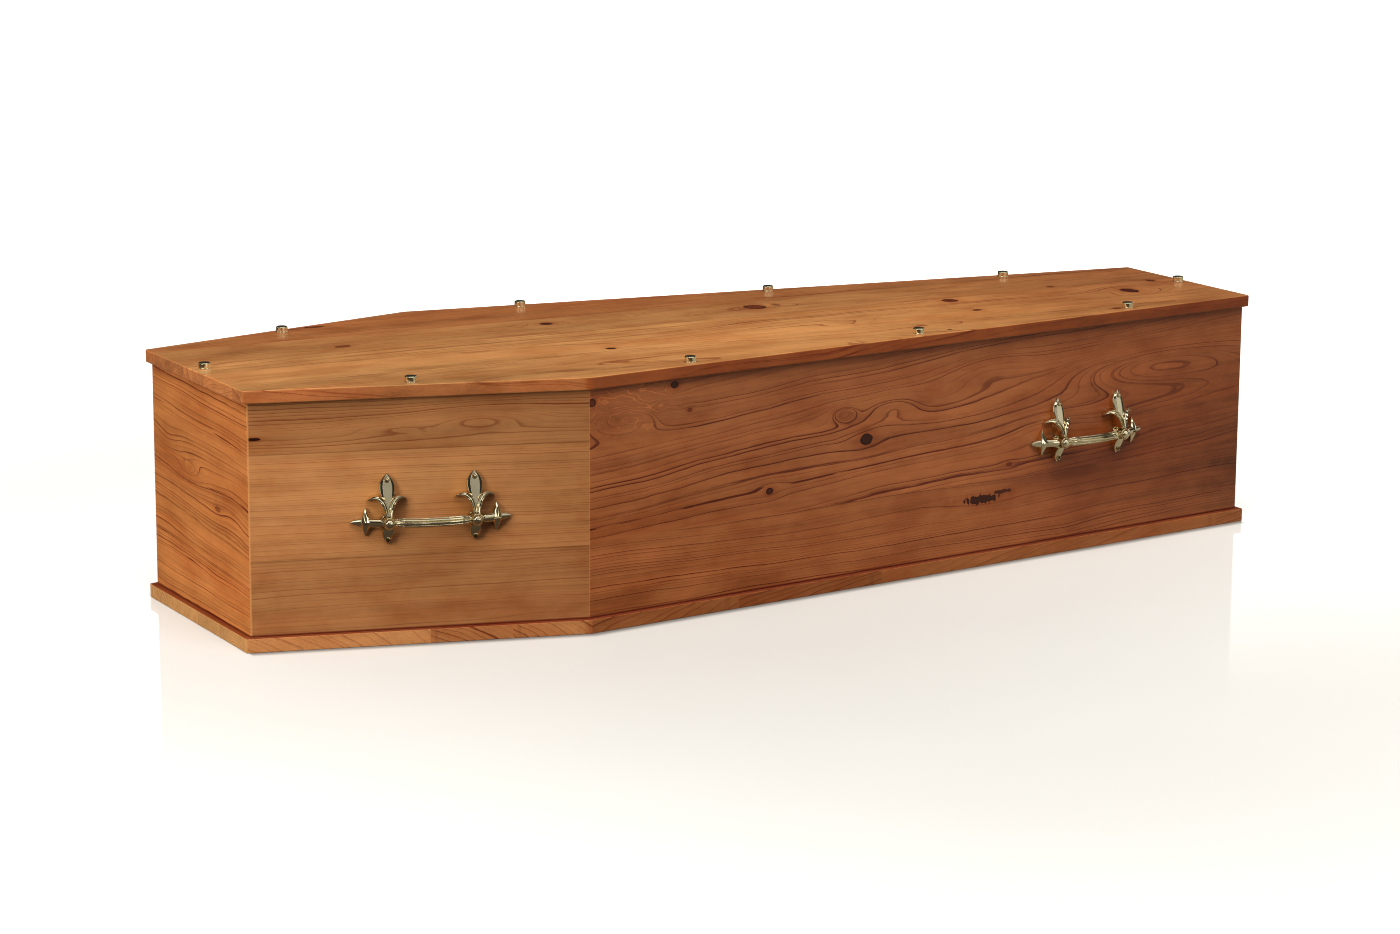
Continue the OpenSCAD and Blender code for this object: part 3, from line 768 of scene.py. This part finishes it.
def handle(side, end):
    wall, along = {("front", "head"): (0, HEAD_AT), ("front", "foot"): (1, FOOT_AT),
                   ("back", "foot"): (3, L_B - FOOT_AT), ("back", "head"): (4, L_A - HEAD_AT)}[side, end]
    w = wall_frame(wall)
    d, inward = w.col[0].to_3d(), w.col[1].to_3d()
    o = w.translation + d * along + Vector((0, 0, HANDLE_Z))
    out = -inward
    mw = Matrix(((d.x, 0, out.x, o.x), (d.y, 0, out.y, o.y), (0, 1, 0, o.z), (0, 0, 0, 1)))
    nm = "handle_%s_%s_" % (side, end)
    minus, plus = ("head", "foot") if side == "front" else ("foot", "head")
    for which, mirror, shift in ((minus, True, -67.5), (plus, False, 67.5)):
        part(nm + "plate_%s_cast" % which, nm + "plate_" + which, mw, brass, plate_mesh, mirror, shift, 38)
        part(nm + "boss_%s_turned" % which, nm + "boss_" + which, mw, brass, boss_mesh, mirror, shift, 50)
        k = 1 if which == "head" else 3
        for j, (y, z, turn) in enumerate(((64.0, 8.94, 0.5), (-28.0, 11.1, 1.0))):
            part(nm + "screw_%d_slotted" % (k + j), nm + "screw_%d" % (k + j), mw,
                 brass if j == 0 else brass_screw_shaded, lambda bm, y=y, z=z, turn=turn: screw_mesh(bm, (0, y), z, turn), mirror, shift)
    part(nm + "bar_reeded", nm + "bar", mw, brass, bar_mesh, False, 0.0, 40)


for side in ("front", "back"):
    for end in ("head", "foot"):
        handle(side, end)

# ---------------------------------------------------------------- lid screw caps
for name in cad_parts:
    if name.startswith("lid_screw"):
        lo_c, hi_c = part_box(name)
        cx, cy = (lo_c.x + hi_c.x) / 2, (lo_c.y + hi_c.y) / 2
        rad, tall = (hi_c.x - lo_c.x) / 2 / MM, (hi_c.z - lo_c.z) / MM
        prof = [(0, 0), (rad - 0.4, 0), (rad - 0.05, 0.3), (rad, 0.8), (rad - 0.1, 1.4), (rad - 0.35, 1.7), (rad - 0.4, 2.1), (rad - 0.15, 2.4),
                (rad - 0.25, tall - 2.2), (rad - 0.45, tall - 1.2), (rad - 0.9, tall - 0.5), (rad - 1.5, tall - 0.1), (rad - 2.1, tall),
                (rad - 2.6, tall - 0.25), (rad - 3.2, tall - 0.3), (rad - 5.5, tall - 0.1), (0, tall - 0.02)]
        part(name + "_cap", name, Matrix.Translation((cx, cy, lo_c.z)), brass_cap,
             lambda bm, prof=prof: lathe(bm, prof, 64), angle=40)

# ---------------------------------------------------------------- floor, light, camera
def floor():
    bm = bmesh.new()
    s = 60.0
    vs = [bm.verts.new((x, y, -0.0002)) for x, y in ((-s, -s), (s, -s), (s, s), (-s, s))]
    bm.faces.new(vs)
    me = bpy.data.meshes.new("floor")
    bm.to_mesh(me)
    bm.free()
    ob = bpy.data.objects.new("floor", me)
    bpy.context.scene.collection.objects.link(ob)
    mat, nt, bsdf = new_material("floor_white")
    co, _ = object_coords()
    n = noise(co, 3.0, 3.0, 0.5)
    fx, fy, fz = split(co)
    far = m("SQRT", fx * fx + fy * fy)
    lp = N.tree.nodes.new("ShaderNodeLightPath")
    seen = N(lp.outputs["Is Camera Ray"])
    # distance outside the base's outline
    p = plan(OVER_B)
    away = None
    for i in range(6):
        (x0, y0), (x1, y1) = p[i], p[(i + 1) % 6]
        l = math.hypot(x1 - x0, y1 - y0)
        nx_, ny_ = (y1 - y0) / l, -(x1 - x0) / l
        e = fx * nx_ + fy * ny_ - (x0 * nx_ + y0 * ny_)
        away = e if away is None else m("MAXIMUM", away, e)
    white = mix(n, (0.568, 0.557, 0.530), (0.588, 0.577, 0.550))
    lift = step(fx, -0.5, 1.3, 0.0, 1.0)
    white = mix(lift, white, mix(1.0, white, (1.25, 1.245, 1.24), "MULTIPLY"))
    # painted shadow: a dark contact line on the floor along the foot of the base
    white = mix(step(away, 0.022, 0.003) * step(m("ABSOLUTE", fx), 0.949, 0.944) * 0.72, white, (0.05, 0.045, 0.04))
    studio = mix(step(fx, -0.3, 1.0), (0.045, 0.036, 0.028), (0.24, 0.225, 0.19))
    put(bsdf.inputs["Base Color"], mix(seen, studio, white))
    bsdf.inputs["Roughness"].default_value = 0.6
    bsdf.inputs["Specular IOR Level"].default_value = 0.0
    put(bsdf.inputs["Coat Weight"], step(away, 0.95, 0.0, 0.0, 0.48) * seen)
    bsdf.inputs["Coat Roughness"].default_value = 0.05
    bsdf.inputs["Coat IOR"].default_value = 1.5
    bsdf.inputs["Emission Color"].default_value = (1.0, 1.0, 1.0, 1.0)
    put(bsdf.inputs["Emission Strength"], step(far, 1.2, 3.2, 0.0, 0.6) * seen)
    me.materials.append(mat)
    ob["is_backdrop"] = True


floor()


def area(name, where, at, size, power, colour=(1, 1, 1), shape="RECTANGLE"):
    li = bpy.data.lights.new(name, "AREA")
    li.shape, li.size, li.size_y, li.energy, li.color = shape, size[0], size[1], power, colour
    ob = bpy.data.objects.new(name, li)
    bpy.context.scene.collection.objects.link(ob)
    ob.location = where
    ob.rotation_euler = (Vector(at) - Vector(where)).to_track_quat("-Z", "Y").to_euler()
    ob.visible_glossy = False
    return ob


def sun(name, towards, strength, angle, colour=(1, 1, 1)):
    li = bpy.data.lights.new(name, "SUN")
    li.energy, li.angle, li.color = strength, math.radians(angle), colour
    ob = bpy.data.objects.new(name, li)
    bpy.context.scene.collection.objects.link(ob)
    ob.rotation_euler = Vector(towards).to_track_quat("-Z", "Y").to_euler()
    ob.visible_glossy = False
    return ob


sun("sky_soft", (0.20, 0.34, -1.0), 3.25, 50, (1.0, 0.985, 0.96))
area("fill_left", (-3.5, -1.5, 1.2), (-0.7, 0, 0.2), (1.0, 1.4), 100.0, (1.0, 0.97, 0.92))

# a white wall behind, lit for the floor's own gloss only, so the floor mirrors the coffin faintly
wall = area("white_wall", (2.0, 3.6, 1.3), (2.0, 0, 1.3), (22.0, 2.6), 430.0)
wall.visible_glossy = True
wall.visible_camera = False
only_floor = bpy.data.collections.new("white_wall_receivers")
only_floor.objects.link(bpy.data.objects["floor"])
wall.light_linking.receiver_collection = only_floor

world = bpy.data.worlds.new("studio")
bpy.context.scene.world = world
world.use_nodes = True
N.tree = world.node_tree
N.tree.nodes.clear()
wo = N.tree.nodes.new("ShaderNodeOutputWorld")
bg = N.tree.nodes.new("ShaderNodeBackground")
N.tree.links.new(bg.outputs[0], wo.inputs[0])
tc = N.tree.nodes.new("ShaderNodeTexCoord")
gx, gy, gz = split(N(tc.outputs["Generated"]))


def panel(az, el, half_az, half_el, edge=0.04, bars=0):
    """A softly edged bright rectangle of the studio around a direction, with dark glazing bars if asked."""
    a, e = math.radians(az), math.radians(el)
    du = gx * math.cos(a) - gy * math.sin(a)
    dv = gx * -math.sin(a) * math.sin(e) + gy * -math.cos(a) * math.sin(e) + gz * math.cos(e)
    dn = gx * math.sin(a) * math.cos(e) + gy * math.cos(a) * math.cos(e) + gz * math.sin(e)
    su, sv = math.sin(math.radians(half_az)), math.sin(math.radians(half_el))
    f = step(m("ABSOLUTE", du), su + edge, su - edge) * step(m("ABSOLUTE", dv), sv + edge, sv - edge) * step(dn, 0.0, 0.1)
    if bars:
        f = f * step(m("PINGPONG", du / su * bars * 0.5 + 0.5, 0.5), 0.04, 0.10, 0.1, 1.0)
    return f


level = step(gz, 0.30, 0.95, 0.030, 0.10)                     # dark walls
level = level + panel(183, 17, 19, 12, 0.02) * 0.34           # grey screen in front of the short side
level = level + panel(138, 8, 12, 22, 0.02) * 0.56            # lighter one in front of the long side
level = level + panel(192, 12, 2.6, 3.4, 0.012) * 6.0         # lamp
level = level + panel(166, 9, 6.5, 7.0, 0.010, 3) * 1.9       # window with glazing bars
level = level + panel(238, 22, 5.0, 14.0, 0.015, 2) * 3.2     # window at the left
level = level + panel(264, 5, 3.0, 16.0, 0.02) * 2.6          # thin strips further round
level = level + panel(96, 22, 3.0, 14.0, 0.02) * 2.8
level = level + panel(60, 14, 4.0, 12.0, 0.02) * 1.2
level = level + panel(300, 14, 4.0, 12.0, 0.02) * 1.2
level = level + panel(186, 40, 44, 2.4, 0.010) * 2.6          # strip lights above the screens
level = level + panel(186, 62, 30, 4.5, 0.015) * 2.0
level = level + panel(216, 50, 2.5, 9.0, 0.012) * 2.4
level = level + panel(152, 50, 2.5, 9.0, 0.012) * 2.4
put(bg.inputs[0], mix(m("MINIMUM", level * 0.4, 1.0), (0, 0, 0), (1.0, 0.99, 0.975)))
bg.inputs[1].default_value = 2.5

# Camera at the photograph's viewing angle
YAW, PITCH, ROLL, FPX = 0.514215, 0.209146, 0.006184, 3653.73
fwd = Vector((math.sin(YAW) * math.cos(PITCH), math.cos(YAW) * math.cos(PITCH), -math.sin(PITCH)))
right = Vector((math.cos(YAW), -math.sin(YAW), 0))
upv = right.cross(fwd)
r2 = right * math.cos(ROLL) + upv * math.sin(ROLL)
u2 = -right * math.sin(ROLL) + upv * math.cos(ROLL)
cam = bpy.data.cameras.new("camera")
cam.sensor_width, cam.sensor_fit, cam.lens = 36.0, "HORIZONTAL", FPX / 1400 * 36.0
cam.clip_end = 200.0
co = bpy.data.objects.new("camera", cam)
bpy.context.scene.collection.objects.link(co)
co.matrix_world = Matrix(((r2.x, u2.x, -fwd.x, -2.98711), (r2.y, u2.y, -fwd.y, -5.19931),
                          (r2.z, u2.z, -fwd.z, 1.42947), (0, 0, 0, 1)))
sc = bpy.context.scene
sc.camera = co
sc.view_settings.view_transform = "Standard"
sc.view_settings.look = "None"
sc.cycles.filter_width = 1.1

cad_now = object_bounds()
as_list = lambda b: [[float(c) for c in p] for p in b]
{"cad": as_list(cad_box), "visual": as_list(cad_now)}
